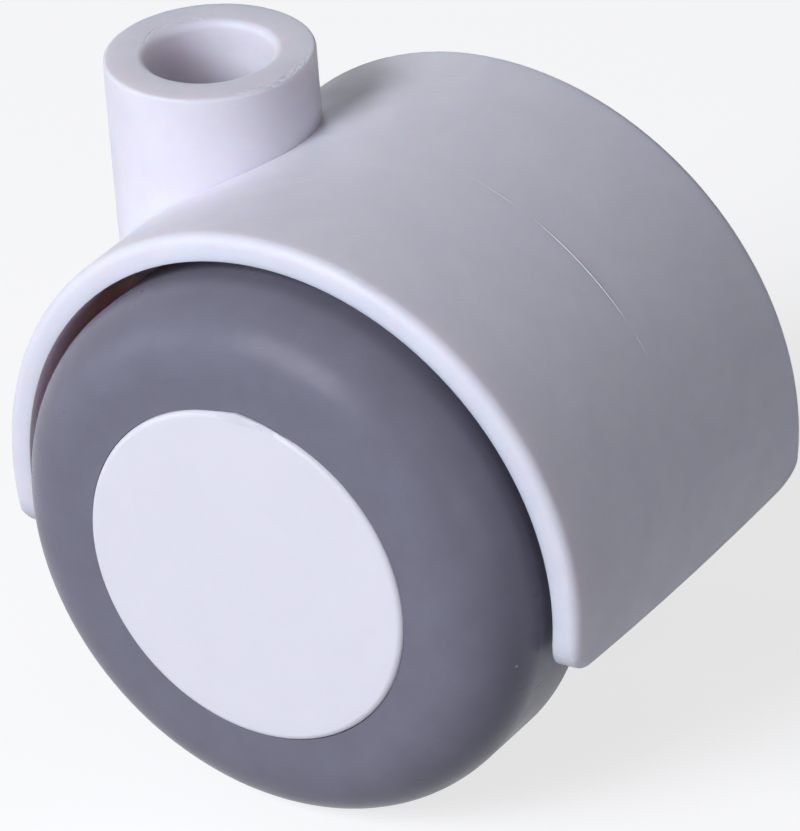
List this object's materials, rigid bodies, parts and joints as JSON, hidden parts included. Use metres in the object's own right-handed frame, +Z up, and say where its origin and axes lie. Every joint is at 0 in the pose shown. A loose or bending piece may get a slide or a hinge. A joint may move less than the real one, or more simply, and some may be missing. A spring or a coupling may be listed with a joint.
{
  "type": "twin wheel castor",
  "caption": "Hooded twin wheel castor with soft grey treads, white hub caps and a plain stem socket. The wheels turn freely and separately.",
  "frame": {"origin": "centre of the stem socket's top face, on the stem's axis", "axes": "+Z up along the stem, out of the socket; +Y along the axle, towards the left wheel; +X from the stem towards the axle, the way the wheels trail"},
  "size_m": [0.0574, 0.0508, 0.0591],
  "materials": {
    "housing_nylon": "satin moulded nylon, white",
    "core_polypropylene": "moulded polypropylene, white",
    "cap_polypropylene": "smooth moulded polypropylene, white",
    "soft_tread": "satin thermoplastic rubber, grey",
    "acetal": "turned acetal, natural",
    "steel": "zinc-plated turned steel",
    "spring_steel": "pressed spring steel"
  },
  "bodies": {
    "chassis": {"housing": "housing_nylon", "axle": "steel", "washer_left": "steel", "washer_right": "steel", "clip_left": "spring_steel", "clip_right": "spring_steel"},
    "wheel_left": {"wheel_core_left": "core_polypropylene", "tread_left": "soft_tread", "hub_cap_left": "cap_polypropylene", "bush_left": "acetal"},
    "wheel_right": {"wheel_core_right": "core_polypropylene", "tread_right": "soft_tread", "hub_cap_right": "cap_polypropylene", "bush_right": "acetal"}
  },
  "joints": [
    {"name": "wheel_left_spin", "type": "hinge", "parent": "chassis", "child": "wheel_left", "pos_m": [0.0172, 0, -0.0341], "axis": [0, 1, 0], "continuous": true},
    {"name": "wheel_right_spin", "type": "hinge", "parent": "chassis", "child": "wheel_right", "pos_m": [0.0172, 0, -0.0341], "axis": [0, 1, 0], "continuous": true}
  ]
}
